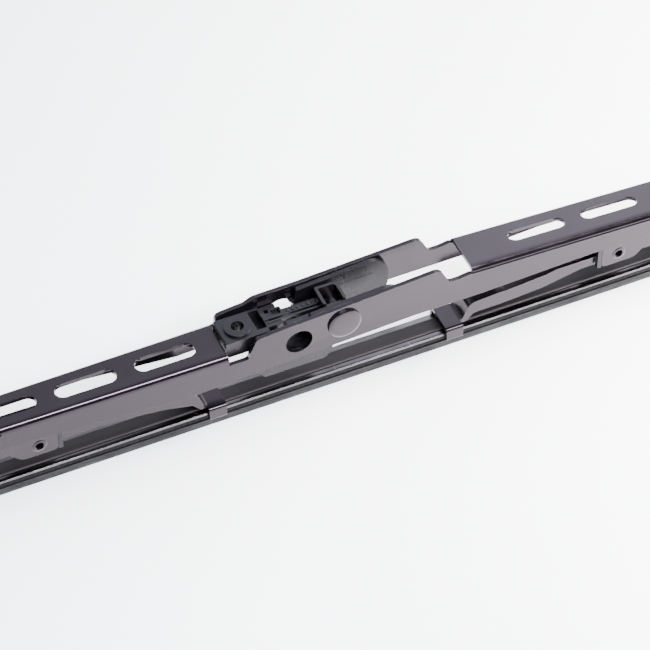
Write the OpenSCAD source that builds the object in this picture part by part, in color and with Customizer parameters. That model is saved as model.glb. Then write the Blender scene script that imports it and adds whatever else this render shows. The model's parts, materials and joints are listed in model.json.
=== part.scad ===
// Framed windscreen wiper blade with a tilting hook adapter.
// X runs along the blade, Y across it, Z up from the wiping edge. Millimetres.

/* [View] */
// Piece to draw, or all of them

/* [Blade layout] */
// Length of the wiping rubber
rubber_length = 604; // [500:1:700]
// How much shorter each steel rail is than the rubber
rail_shortening = 8; // [2:1:20]
// Middle of the blade to the inner yoke pivot
inner_pivot_x = 84.7; // [70:0.1:100]
// How far the rubber runs past the outermost claw
rubber_end = 2.2; // [1:0.1:6]
// Yoke pivot to the middle of each claw
claw_reach = 49.8; // [40:0.1:60]
// Height of the yoke pivots above the wiping edge
yoke_pivot_z = 19.4; // [17:0.1:24]
// Height of the pivots at the ends of the main bridge
end_pivot_z = 21.6; // [19:0.1:26]

/* [Rubber and rails] */
// Height of the whole rubber section
rubber_height = 10.5; // [9:0.1:13]
// Width of the rubber's head
head_width = 6.4; // [5:0.1:8]
// Width of the lower head, under the rails
lower_head_width = 5.4; // [4:0.1:7]
// Width of the shoulders of the wiping lip
lip_width = 4.2; // [3:0.1:6]
// Width of the wiping edge itself
lip_edge_width = 0.9; // [0.5:0.1:2]
// Thickness of the hinge neck over the lip
neck_width = 1.6; // [1:0.1:3]
// Thickness of a steel rail
rail_thickness = 0.8; // [0.5:0.1:1.5]
// Width of a steel rail
rail_width = 2.2; // [1.5:0.1:4]
// Height of the rails' undersides above the wiping edge
rail_z = 8.75; // [7:0.05:10]

/* [Main bridge] */
// Width over the side walls at the middle
bridge_width = 14; // [12:0.1:18]
// Thickness of the bridge's sheet
bridge_sheet = 1.2; // [0.8:0.1:2]
// Height of the bridge's top above the wiping edge
bridge_top_z = 31.8; // [28:0.1:40]
// Outer radius of the bend along the edges
bridge_bend = 2; // [1.4:0.1:3]
// Middle of the bridge to the deep shoulders beside the window
middle_half = 42; // [38:1:60]
// Where the left arm begins to slope down
left_arm_start = 95; // [85:1:120]
// How far the left arm comes down by its end pivot
left_arm_drop = 2.98; // [1:0.01:5]
// How much higher the right arm starts than the left one
right_arm_rise = 3.4; // [1:0.1:4]
// How far the right arm comes down by its end pivot
right_arm_drop = 5.7; // [4:0.1:7]
// How far the arms are drawn in from the middle of the bridge
arm_step = 0.15; // [0.05:0.05:0.5]
// How far the bridge runs past its end pivots
bridge_overrun = 7.5; // [6:0.1:12]
// Depth of the side walls at the middle
wall_depth = 9.4; // [7:0.1:12]
// Depth of the side walls at the shoulders beside the window
shoulder_depth = 10.3; // [8:0.1:13]
// Depth of the side walls along the arms
arm_depth = 6.8; // [5:0.1:9]
// How much shallower the back wall is than the front one
back_wall_rise = 2.4; // [0:0.1:3]

/* [Window and cheeks] */
// Left end of the window cut through the bridge's top
window_left = -32; // [-40:0.1:-25]
// Right end of the window
window_right = 38.6; // [30:0.1:45]
// Height of the cheeks above the bridge's top at their left end
cheek_rise_left = 4; // [2:0.1:8]
// Height of the cheeks above the bridge's top at their right peak
cheek_rise_right = 6.6; // [3:0.1:10]
// Where the cheeks peak
cheek_peak_x = 26.6; // [20:0.1:32]
// Place of the side pin hole along the bridge
side_hole_x = -12; // [-16:0.1:-8]
// Height of the side pin hole above the wiping edge
side_hole_z = 29; // [26:0.1:33]
// Diameter of the side pin hole
side_hole_d = 7.6; // [5:0.1:9]

/* [Slots] */
// Length of one slot
slot_length = 17; // [10:0.5:20]
// Width of one slot
slot_width = 5; // [3:0.1:7]
// Distance from slot to slot
slot_pitch = 22.2; // [19:0.1:30]
// Middle of the first slot left of the window
first_slot_left = -47.2; // [-60:0.1:-42]
// Middle of the first slot right of the window
first_slot_right = 61.1; // [50:0.1:70]
// Slots on the left arm
slots_left = 5; // [1:1:5]
// Slots on the right arm
slots_right = 4; // [1:1:5]

/* [Rivets] */
// Place of the centre rivet along the bridge
centre_rivet_x = 1; // [-5:0.1:5]
// Height of the centre rivet above the wiping edge
centre_rivet_z = 30.7; // [28:0.1:34]
// Diameter of the centre rivet's head
centre_head_d = 9.4; // [7:0.1:12]
// Height of the centre rivet's head
centre_head_rise = 0.9; // [0.5:0.1:2]
// Diameter of the centre rivet's shank
centre_shank_d = 5; // [4:0.1:6]
// Diameter of the end rivets' heads
end_head_d = 7; // [5:0.1:9]
// Height of the end rivets' heads
end_head_rise = 0.9; // [0.5:0.1:2]
// Diameter of the end rivets' shanks
end_shank_d = 4; // [3:0.1:5]
// Diameter of the hollow yoke rivets
yoke_rivet_d = 3.8; // [3:0.1:5]
// Bore of the hollow yoke rivets
yoke_rivet_bore = 2.8; // [2:0.1:4]
// Play around a shank that something turns on
turning_play = 0.05; // [0.02:0.01:0.1]

/* [Secondary bridges] */
// Thickness of the plastic between the bridge and a secondary bridge
joint_liner_sheet = 0.85; // [0.5:0.05:1.2]
// Thickness of the sheet
secondary_sheet = 0.9; // [0.6:0.1:1.5]
// Height of the top above the wiping edge, at the ends
secondary_end_top_z = 24.4; // [23:0.1:28]
// Height of the top above the wiping edge, at the middle pivot
secondary_middle_top_z = 25.7; // [24:0.1:30]
// Height of the ears' lower edges above the wiping edge
ear_bottom_z = 15.9; // [15:0.1:18]
// Height of the lower edges between the ears
secondary_bottom_z = 20.2; // [18:0.1:23]
// Overrun of an ear past the yoke pivot
ear_overrun = 5.1; // [4:0.1:8]

/* [Yokes and claws] */
// Thickness of the yoke's sheet
yoke_sheet = 0.8; // [0.5:0.1:1.2]
// Height of a yoke's top over its pivot
yoke_top_rise = 2.9; // [2.6:0.1:5]
// Length of a claw along the blade
claw_length = 5; // [4:0.1:8]
// Thickness of a claw's sides
claw_sheet = 1; // [0.7:0.1:1.5]
// Free space between a claw and the rubber's head or a rail's edge
claw_play = 0.3; // [0.1:0.05:0.6]

/* [Adapter] */
// Clearance between the adapter and the bridge's walls
adapter_play = 0.3; // [0.2:0.05:0.6]
// Wall thickness of the moulding
adapter_wall = 1.3; // [1:0.1:2]
// Left end of the adapter's nose plate
nose_left = -31.2; // [-31.5:0.1:-26]
// Length of the nose plate
nose_length = 11.4; // [8:0.1:14]
// Height of the nose plate's top above the wiping edge
nose_top_z = 34; // [32:0.1:36]
// Thickness of the nose plate
nose_thickness = 3.3; // [2:0.1:5]
// Outer diameter of the ring on the nose plate
nose_ring_d = 7.3; // [5:0.1:9]
// Hole through the nose plate
nose_hole_d = 3.5; // [2:0.1:5]
// Right end of the adapter's cheeks
adapter_right = 19; // [14:0.1:24]
// Height of the adapter's lower edge above the wiping edge
adapter_bottom_z = 17.8; // [15:0.1:21]

/* [Hidden] */
$fa = 3;
$fs = 0.35;
overrun = 1;
arm_lap = overrun * 2;
assembly_gap = 0.05;
fit_gap = 0.02;

outer_pivot_x = rubber_length / 2 - rubber_end - claw_reach;
end_pivot_x = (inner_pivot_x + outer_pivot_x) / 2;
right_arm_start = window_right - arm_lap * 1.3;
left_slope = atan(left_arm_drop / (end_pivot_x - left_arm_start + arm_lap));
right_slope = atan(right_arm_drop / (end_pivot_x - right_arm_start + arm_lap));
right_top_z = bridge_top_z + right_arm_rise;

// Each layer of the linkage is as wide as the space inside the one around it.
liner_sheet = 0.4;
joint_liner_half = bridge_width / 2 - arm_step - bridge_sheet - assembly_gap;
secondary_width = 2 * (joint_liner_half - joint_liner_sheet - assembly_gap);
yoke_width = secondary_width - 2 * (secondary_sheet + liner_sheet + 2 * assembly_gap);

bridge_half = end_pivot_x + bridge_overrun;
tall = rubber_height * 6;

steel_black = [0.09, 0.095, 0.11];
plastic_black = [0.06, 0.06, 0.065];
rubber_black = [0.12, 0.125, 0.14];
steel_bright = [0.72, 0.73, 0.75];
rivet_black = [0.13, 0.13, 0.135];

// Corners [x, z, radius] become an outline with each corner rounded by its radius.
function unit(v) = v / norm(v);
function fillet(a, p, b, r, steps = 7) =
    let (u = unit([a.x - p.x, a.y - p.y]), w = unit([b.x - p.x, b.y - p.y]),
         half = acos(max(-1, min(1, u * w))) / 2,
         run = r / tan(half),
         centre = [p.x, p.y] + unit(u + w) * (r / sin(half)),
         from = [p.x, p.y] + u * run - centre,
         to = [p.x, p.y] + w * run - centre,
         start = atan2(from.y, from.x),
         turn = atan2(to.y, to.x) - start,
         sweep = turn > 180 ? turn - 360 : turn < -180 ? turn + 360 : turn)
    [for (i = [0:steps]) centre + r * [cos(start + sweep * i / steps),
                                       sin(start + sweep * i / steps)]];
function rounded(pts) =
    let (n = len(pts))
    [for (i = [0:n - 1])
        each pts[i][2] == 0
            || abs(cross(unit([for (k = [0, 1]) pts[i][k] - pts[(i + n - 1) % n][k]]),
                         unit([for (k = [0, 1]) pts[i][k] - pts[(i + 1) % n][k]]))) < 1e-3
            ? [[pts[i].x, pts[i].y]]
            : fillet(pts[(i + n - 1) % n], pts[i], pts[(i + 1) % n], pts[i][2])];

// An outline drawn in X and Z, made solid across the blade between two Y places.
module side_plate(pts, y_from, y_to)
    translate([0, y_to, 0]) rotate([90, 0, 0])
        linear_extrude(y_to - y_from) polygon(rounded(pts));

// A shank across the blade, centred on Y.
module cross_shank(d, width, x, z)
    translate([x, width / 2, z]) rotate([90, 0, 0]) cylinder(d = d, h = width);

// The low domed head of a rivet, standing on the wall at the given side.
module rivet_head(d, rise, side) {
    dome = (d * d / 4 + rise * rise) / (2 * rise);
    rotate([-90 * side, 0, 0]) intersection() {
        translate([0, 0, rise - dome]) sphere(r = dome, $fa = 2);
        cylinder(d = d, h = rise);
    }
}

module solid_rivet(x, z, shank_d, grip, head_d, rise) {
    cross_shank(shank_d, grip, x, z);
    for (side = [-1, 1]) translate([x, side * grip / 2, z]) rivet_head(head_d, rise, side);
}

// Folded section of the main bridge, seen along X: top and one wall, out to half the width.
module bridge_section(half) {
    inner = bridge_bend - bridge_sheet;
    difference() {
        union() {
            translate([-half + bridge_bend, -tall]) square([2 * (half - bridge_bend), tall]);
            translate([-half, -tall]) square([2 * half, tall - bridge_bend]);
            for (s = [-1, 1]) translate([s * (half - bridge_bend), -bridge_bend])
                circle(r = bridge_bend);
        }
        translate([-half + bridge_bend, -tall - overrun])
            square([2 * (half - bridge_bend), tall + overrun - bridge_sheet]);
        translate([-half + bridge_sheet, -tall - overrun])
            square([2 * (half - bridge_sheet), tall + overrun - bridge_bend]);
        for (s = [-1, 1]) translate([s * (half - bridge_bend), -bridge_bend])
            circle(r = inner);
    }
}

middle_width_half = bridge_width / 2;

// The folded channel, level on the left of the middle. Both arms slope down to their
// ends, and the right one starts higher.
module channel(length, half)
    rotate([90, 0, 90]) linear_extrude(length) bridge_section(half);

module arm(start, top_z, slope)
    translate([start - arm_lap, 0, top_z - arm_step]) rotate([0, slope, 0])
        channel(bridge_half - start + arm_lap + overrun, middle_width_half - arm_step);

module sloping_channel() {
    translate([-left_arm_start, 0, bridge_top_z])
        channel(left_arm_start + right_arm_start, middle_width_half);
    mirror([1, 0, 0]) arm(left_arm_start, bridge_top_z, left_slope);
    arm(right_arm_start, right_top_z, right_slope);
}

// Height and slope of the web at a place along the bridge.
function web_top(x) =
    x > right_arm_start
        ? right_top_z - arm_step - (x - right_arm_start + arm_lap) * tan(right_slope)
        : -x > left_arm_start
        ? bridge_top_z - arm_step - (-x - left_arm_start + arm_lap) * tan(left_slope)
        : bridge_top_z;
function web_tilt(x) = x > right_arm_start ? right_slope : -x > left_arm_start ? -left_slope : 0;

// Side view of the whole bridge without its cheeks: what the folded section is trimmed to.
ear_radius = end_pivot_z - yoke_pivot_z + bridge_overrun * 0.3;
function wall_outline(rise) =
    let (top = right_top_z + overrun,
         mid_arm = (middle_half + left_arm_start) / 2,
         deep = shoulder_depth - rise,
         slim = arm_depth - rise,
         mid_depth = slim * 0.75 + deep * 0.25,
         ear_low = end_pivot_z - ear_radius,
         ear_start = end_pivot_x - ear_radius * 3)
    [
        [bridge_half, top, 0],
        [bridge_half, ear_low, ear_radius],
        [end_pivot_x - ear_radius, ear_low, ear_radius],
        [ear_start, web_top(ear_start) - slim, ear_radius],
        [left_arm_start, web_top(left_arm_start) - slim, slot_pitch],
        [mid_arm, web_top(mid_arm) - mid_depth, slot_pitch],
        [middle_half, web_top(middle_half) - deep, slot_pitch / 2],
        [middle_half / 2, web_top(middle_half) - deep, slot_pitch / 2],
        [-middle_half / 2, bridge_top_z - wall_depth + rise, slot_pitch / 2],
        [-middle_half, bridge_top_z - deep, slot_pitch / 2],
        [-mid_arm, bridge_top_z - mid_depth, slot_pitch],
        [-left_arm_start, bridge_top_z - slim, slot_pitch],
        [-ear_start, web_top(-ear_start) - slim, ear_radius],
        [-end_pivot_x + ear_radius, ear_low, ear_radius],
        [-bridge_half, ear_low, ear_radius],
        [-bridge_half, top, 0]
    ];
module bridge_side_view() {
    between = bridge_width / 4;
    side_plate(wall_outline(0), -bridge_width, between);
    side_plate(wall_outline(back_wall_rise), -between, bridge_width);
}

// Cheek outlines. The front one has a low notch at its left end, the back one a shoulder.
cheek_foot_z = bridge_top_z - wall_depth / 2;
notch_depth = bridge_sheet;
cheek_corner = bridge_bend;
notch_length = window_right - cheek_peak_x - 2 * cheek_corner;
peak_z = bridge_top_z + cheek_rise_right;
notch_z = right_top_z - arm_step - 1.9 * notch_depth;

function cheek_right_end() = [
    [window_right + cheek_corner, cheek_foot_z, 0],
    [window_right + cheek_corner, bridge_top_z - bridge_bend * 1.4, 0],
    [window_right, bridge_top_z - bridge_bend * 1.4, 0],
    [window_right, notch_z + notch_depth / 2, notch_depth / 2],
    [window_right - notch_length / 2, notch_z, notch_depth],
    [cheek_peak_x + 2.6 * cheek_corner, notch_z, cheek_corner * 0.7],
    [cheek_peak_x + 1.2 * cheek_corner, peak_z, cheek_corner * 1.5],
    [cheek_peak_x - 2 * cheek_corner, peak_z - cheek_corner * 0.15, slot_pitch / 2],
    [side_hole_x / 2, bridge_top_z + cheek_rise_left * 1.2, slot_pitch]
];

function front_cheek() = concat(cheek_right_end(), [
    [side_hole_x - side_hole_d / 2, bridge_top_z + cheek_rise_left * 1.1, cheek_corner * 3],
    [window_left + 3.5 * notch_depth * 1.9, bridge_top_z + cheek_rise_left * 0.75,
        cheek_corner * 0.9],
    [window_left + 3.5 * notch_depth * 1.45, bridge_top_z - notch_depth, cheek_corner * 0.8],
    [window_left, bridge_top_z - notch_depth / 3, notch_depth / 2],
    [window_left, bridge_top_z - bridge_bend * 1.4, 0],
    [window_left - cheek_corner, bridge_top_z - bridge_bend * 1.4, 0],
    [window_left - cheek_corner, cheek_foot_z, 0]
]);

function back_cheek() = concat(cheek_right_end(), [
    [side_hole_x - side_hole_d, bridge_top_z + cheek_rise_left * 1.15, cheek_corner * 2],
    [side_hole_x - side_hole_d * 1.35, bridge_top_z + cheek_rise_left * 0.82, cheek_corner / 2],
    [window_left + cheek_corner * 0.7, bridge_top_z + cheek_rise_left * 0.62,
        cheek_corner * 0.9],
    [window_left + cheek_corner * 0.7, bridge_top_z - notch_depth, notch_depth / 2],
    [window_left, bridge_top_z - notch_depth, 0],
    [window_left, bridge_top_z - bridge_bend * 1.4, 0],
    [window_left - cheek_corner, bridge_top_z - bridge_bend * 1.4, 0],
    [window_left - cheek_corner, cheek_foot_z, 0]
]);

module slot(x) {
    r = slot_width / 2;
    translate([x, 0, web_top(x) - 2 * bridge_sheet]) rotate([0, web_tilt(x), 0])
        linear_extrude(4 * bridge_sheet) {
        square([slot_length - slot_width, slot_width], center = true);
        for (s = [-1, 1]) translate([s * (slot_length - slot_width) / 2, 0]) circle(r = r);
    }
}

module primary_bridge() color(steel_black) difference() {
    union() {
        difference() {
            intersection() {
                sloping_channel();
                bridge_side_view();
            }
            translate([window_left, -bridge_width, bridge_top_z - bridge_bend * 1.5])
                cube([window_right - window_left, 2 * bridge_width, tall]);
            for (i = [0:slots_left - 1]) slot(first_slot_left - i * slot_pitch);
            for (i = [0:slots_right - 1]) slot(first_slot_right + i * slot_pitch);
        }
        side_plate(front_cheek(), -middle_width_half, -middle_width_half + bridge_sheet);
        side_plate(back_cheek(), middle_width_half - bridge_sheet, middle_width_half);
    }
    cross_shank(side_hole_d, 2 * bridge_width, side_hole_x, side_hole_z);
    cross_shank(centre_shank_d + 2 * fit_gap, 2 * bridge_width, centre_rivet_x, centre_rivet_z);
    for (s = [-1, 1])
        cross_shank(end_shank_d + 2 * fit_gap, 2 * bridge_width, s * end_pivot_x, end_pivot_z);
}

module centre_rivet() color(rivet_black)
    solid_rivet(centre_rivet_x, centre_rivet_z, centre_shank_d, bridge_width,
        centre_head_d, centre_head_rise);

module end_rivet(side) color(rivet_black)
    solid_rivet(side * end_pivot_x, end_pivot_z, end_shank_d, bridge_width - 2 * arm_step,
        end_head_d, end_head_rise);

// Rubber: head over the rails, lower head under them, thin neck and the wiping lip.
groove_top = rail_z + rail_thickness + assembly_gap;
groove_bottom = rail_z - assembly_gap;
rail_inner_y = head_width / 2 + claw_play * 3 - rail_width;
lower_head_z = groove_bottom - lower_head_width / 2;
lip_shoulder_z = rubber_height * 0.42;
module rubber_section() {
    half = [
        [lip_edge_width / 2, 0],
        [lip_width / 2 - lip_edge_width / 2, lip_shoulder_z - lip_edge_width],
        [lip_width / 2, lip_shoulder_z],
        [neck_width / 2, lip_shoulder_z + lip_edge_width / 2],
        [neck_width / 2, lower_head_z - lip_edge_width / 3],
        [lower_head_width / 2, lower_head_z],
        [lower_head_width / 2, groove_bottom],
        [rail_inner_y - assembly_gap, groove_bottom],
        [rail_inner_y - assembly_gap, groove_top],
        [head_width / 2, groove_top],
        [head_width / 2, rubber_height - lip_edge_width / 3],
        [head_width / 2 - lip_edge_width / 3, rubber_height]
    ];
    polygon(concat(half, [for (i = [len(half) - 1:-1:0]) [-half[i].x, half[i].y]]));
}

module wiping_rubber() color(rubber_black)
    translate([-rubber_length / 2, 0, 0]) rotate([90, 0, 90])
        linear_extrude(rubber_length) rubber_section();

module rail(side) color(steel_bright) {
    length = rubber_length - rail_shortening;
    translate([-length / 2, side > 0 ? rail_inner_y : -rail_inner_y - rail_width, rail_z])
        cube([length, rail_width, rail_thickness]);
}

// Claw seen along X: a saddle over the head, sides beside the rails and lips under them.
claw_inner_y = rail_inner_y + rail_width + claw_play;
claw_outer_y = claw_inner_y + claw_sheet;
claw_ceiling_z = rubber_height + claw_play;
saddle_z = claw_ceiling_z + claw_sheet * 1.2;
claw_lip_top_z = rail_z - assembly_gap;
claw_bottom_z = claw_lip_top_z - claw_sheet;
claw_lip_inner_y = lower_head_width / 2 + claw_play;
module claw(x) translate([x - claw_length / 2, 0, 0]) rotate([90, 0, 90])
    linear_extrude(claw_length) difference() {
        polygon(rounded([
            [-claw_outer_y, claw_bottom_z, claw_sheet / 2],
            [claw_outer_y, claw_bottom_z, claw_sheet / 2],
            [claw_outer_y, saddle_z, claw_sheet],
            [-claw_outer_y, saddle_z, claw_sheet]
        ]));
        translate([-claw_inner_y, claw_lip_top_z])
            square([2 * claw_inner_y, claw_ceiling_z - claw_lip_top_z]);
        translate([-claw_lip_inner_y, claw_bottom_z - overrun])
            square([2 * claw_lip_inner_y, claw_ceiling_z - claw_bottom_z]);
    }

// Half of a yoke's side view, from its pivot out to the claw at the right.
yoke_top_z = yoke_pivot_z + yoke_top_rise;
yoke_low_z = yoke_pivot_z - yoke_rivet_d * 0.65;
neck_start = claw_reach - claw_length / 2;
function yoke_half_top(drop) = [
    [0, yoke_top_z - drop, 0],
    [claw_reach * 0.4, yoke_top_z - drop - yoke_sheet / 4, claw_reach * 0.6],
    [claw_reach * 0.7, yoke_top_z - drop - yoke_top_rise * 0.7, claw_reach * 0.3],
    [neck_start - claw_length * 0.55, yoke_pivot_z - yoke_top_rise * 0.75 - drop,
        claw_length * 0.8],
    [neck_start - claw_length * 0.1, saddle_z - drop * 0.5, claw_length * 0.25],
    [claw_reach, saddle_z - drop * 0.5, 0]
];
function yoke_half_low() = [
    [claw_reach, claw_ceiling_z, 0],
    [neck_start - claw_length * 0.35, claw_ceiling_z, claw_sheet],
    [neck_start - claw_length * 0.8, claw_ceiling_z + claw_sheet * 2.6, claw_length * 0.4],
    [claw_reach * 0.72, yoke_low_z - claw_sheet * 1.6, claw_reach * 0.2],
    [claw_reach * 0.42, yoke_low_z + claw_sheet * 0.6, claw_reach * 0.4],
    [yoke_rivet_d * 1.6, yoke_low_z + claw_sheet * 0.6, yoke_rivet_d / 2],
    [yoke_rivet_d * 0.7, yoke_low_z, yoke_rivet_d / 2]
];
function flipped(pts) = [for (i = [len(pts) - 1:-1:0]) [-pts[i].x, pts[i].y, pts[i][2]]];
function yoke_side_view(drop) = concat(
    [for (i = [1:len(yoke_half_top(0)) - 1]) yoke_half_top(drop)[i]], yoke_half_low(),
    flipped(yoke_half_low()), [for (i = [len(yoke_half_top(0)) - 1:-1:1])
        [-yoke_half_top(drop)[i].x, yoke_half_top(drop)[i].y, yoke_half_top(drop)[i][2]]]);

// The space between a yoke's walls, under its top, stopping short of the claws.
function yoke_hollow() = [
    [claw_reach * 0.4, yoke_top_z - yoke_sheet * 1.25, claw_reach * 0.6],
    [claw_reach * 0.7, yoke_top_z - yoke_top_rise * 0.7 - yoke_sheet * 1.1, claw_reach * 0.3],
    [neck_start - claw_length * 0.75, yoke_pivot_z - yoke_top_rise * 0.75 - yoke_sheet,
        claw_length * 0.5],
    [neck_start - claw_length * 0.45, claw_ceiling_z - overrun, 0]
];

module yoke(x) color(steel_black) {
    half = yoke_width / 2;
    hollow = yoke_hollow();
    difference() {
        translate([x, 0, 0]) side_plate(yoke_side_view(0), -half, half);
        translate([x, 0, 0]) side_plate(concat(hollow, flipped(hollow)),
            -half + yoke_sheet, half - yoke_sheet);
        cross_shank(yoke_rivet_d + 2 * turning_play, 2 * yoke_width, x, yoke_pivot_z);
    }
    for (s = [-1, 1]) claw(x + s * claw_reach);
}

// Plastic liner in the end of a secondary bridge, over the yoke: two sides, a roof and a
// strip that covers the edge of the ear. The strip is on the side given.
liner_strip = yoke_sheet * 1.6;
liner_roof_gap = 0.5;
module yoke_liner(x, side) color(plastic_black) {
    inner = yoke_width / 2 + assembly_gap;
    outer = inner + liner_sheet;
    roof = yoke_top_z + liner_roof_gap;
    low = ear_bottom_z + liner_sheet;
    difference() {
        union() {
            translate([x - ear_overrun, -outer, low])
                cube([2 * ear_overrun, 2 * outer, roof + liner_sheet - low]);
            translate([x, 0, 0]) mirror([side > 0 ? 0 : 1, 0, 0]) {
                translate([ear_overrun + assembly_gap, -secondary_width / 2, ear_bottom_z])
                    cube([liner_strip, secondary_width, roof + liner_sheet - ear_bottom_z]);
                translate([ear_overrun - liner_sheet, -outer, low])
                    cube([2 * liner_sheet, 2 * outer, roof + liner_sheet - low]);
            }
        }
        translate([x - 2 * ear_overrun, -inner, low - tall])
            cube([4 * ear_overrun, 2 * inner, roof - low + tall]);
        cross_shank(yoke_rivet_d + 2 * fit_gap, 4 * yoke_width, x, yoke_pivot_z);
    }
}

// Hollow rivet with a small rolled rim at each end, held by the secondary bridge.
module yoke_rivet(x) color(rivet_black) {
    rim = liner_sheet / 2;
    difference() {
        union() {
            cross_shank(yoke_rivet_d, secondary_width, x, yoke_pivot_z);
            for (s = [-1, 1]) translate([x, s * (secondary_width / 2 + rim / 2), yoke_pivot_z])
                rotate([90, 0, 0]) cylinder(d = yoke_rivet_d + 2 * rim, h = rim, center = true);
        }
        cross_shank(yoke_rivet_bore, 2 * secondary_width, x, yoke_pivot_z);
    }
}

// Secondary bridge: a folded channel with a pivot ear at each end and one in the middle.
secondary_half = end_pivot_x - inner_pivot_x;
secondary_bend = 1.6 * secondary_sheet;
secondary_ear = 2 * yoke_rivet_d;
function secondary_side_view(drop, inset) = [
    [-secondary_half - ear_overrun - overrun * inset, ear_bottom_z - overrun * inset,
        (1 - inset) * yoke_rivet_d / 3],
    [-secondary_half + ear_overrun, ear_bottom_z - overrun * inset,
        (1 - inset) * yoke_rivet_d],
    [-secondary_half + ear_overrun * 1.8, secondary_bottom_z - overrun * inset,
        (1 - inset) * yoke_rivet_d],
    [-secondary_ear, secondary_bottom_z - overrun * inset,
        (1 - inset) * yoke_rivet_d],
    [-end_shank_d, end_pivot_z - end_shank_d - overrun * inset, (1 - inset) * yoke_rivet_d / 2],
    [end_shank_d, end_pivot_z - end_shank_d - overrun * inset, (1 - inset) * yoke_rivet_d / 2],
    [secondary_ear, secondary_bottom_z - overrun * inset,
        (1 - inset) * yoke_rivet_d],
    [secondary_half - ear_overrun * 1.8, secondary_bottom_z - overrun * inset,
        (1 - inset) * yoke_rivet_d],
    [secondary_half - ear_overrun, ear_bottom_z - overrun * inset,
        (1 - inset) * yoke_rivet_d],
    [secondary_half + ear_overrun + overrun * inset, ear_bottom_z - overrun * inset,
        (1 - inset) * yoke_rivet_d / 3],
    [secondary_half + ear_overrun + overrun * inset, secondary_end_top_z - drop,
        (1 - inset) * secondary_bend],
    [0, secondary_middle_top_z - drop, secondary_half],
    [-secondary_half - ear_overrun - overrun * inset, secondary_end_top_z - drop,
        (1 - inset) * secondary_bend]
];

module secondary_bridge(side) color(steel_black) {
    half = secondary_width / 2;
    x = side * end_pivot_x;
    difference() {
        translate([x, 0, 0]) side_plate(secondary_side_view(0, 0), -half, half);
        translate([x, 0, 0]) side_plate(secondary_side_view(secondary_sheet, 1),
            -half + secondary_sheet, half - secondary_sheet);
        cross_shank(end_shank_d + 2 * turning_play, 2 * bridge_width, x, end_pivot_z);
        for (s = [-1, 1]) cross_shank(yoke_rivet_d + 2 * fit_gap, 2 * bridge_width,
            x + s * secondary_half, yoke_pivot_z);
    }
}

// Plastic liner between the main bridge and a secondary bridge: sides and a roof.
module joint_liner(side) color(plastic_black) {
    x = side * end_pivot_x;
    inner = secondary_width / 2 + assembly_gap;
    outer = joint_liner_half;
    roof = secondary_middle_top_z + assembly_gap;
    low = end_pivot_z - end_shank_d;
    difference() {
        translate([x - bridge_overrun, -outer, low])
            cube([2 * bridge_overrun, 2 * outer, roof + liner_sheet - low]);
        translate([x - 2 * bridge_overrun, -inner, low - overrun])
            cube([4 * bridge_overrun, 2 * inner, roof - low + overrun]);
        cross_shank(end_shank_d + 2 * turning_play, 2 * bridge_width, x, end_pivot_z);
    }
}

// Adapter moulding: nose plate, two cheeks, a lower body and the block over the rivet.
adapter_half = bridge_width / 2 - bridge_sheet - adapter_play;
nose_right = nose_left + nose_length;
adapter_end_r = (adapter_right - centre_rivet_x) * 0.3;
ledge_z = nose_top_z - adapter_wall * 1.2;
arm_top_z = nose_top_z + adapter_wall * 0.9;
body_left = nose_left + nose_length * 0.75;
body_right = centre_rivet_x - centre_shank_d * 0.6;
neck_low_z = bridge_top_z - wall_depth + adapter_wall;
block_left = centre_rivet_x - centre_shank_d * 1.3;
block_right = centre_rivet_x + centre_shank_d * 0.64;
block_top_z = nose_top_z + adapter_wall * 1.9;

function adapter_cheek(top_right) = [
    [nose_right - adapter_wall, ledge_z, 0],
    [body_left, ledge_z, 0],
    [body_left - adapter_wall, adapter_bottom_z + adapter_wall * 3, adapter_wall],
    [body_left + adapter_wall, adapter_bottom_z, adapter_wall * 1.5],
    [body_right - adapter_wall, adapter_bottom_z, adapter_wall * 1.5],
    [body_right + adapter_wall, neck_low_z, adapter_wall * 1.5],
    [adapter_right, neck_low_z, adapter_end_r],
    [adapter_right, top_right, adapter_end_r],
    [block_left - adapter_wall, top_right, adapter_wall / 2],
    [block_left - adapter_wall * 3, ledge_z, adapter_wall]
];

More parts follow.
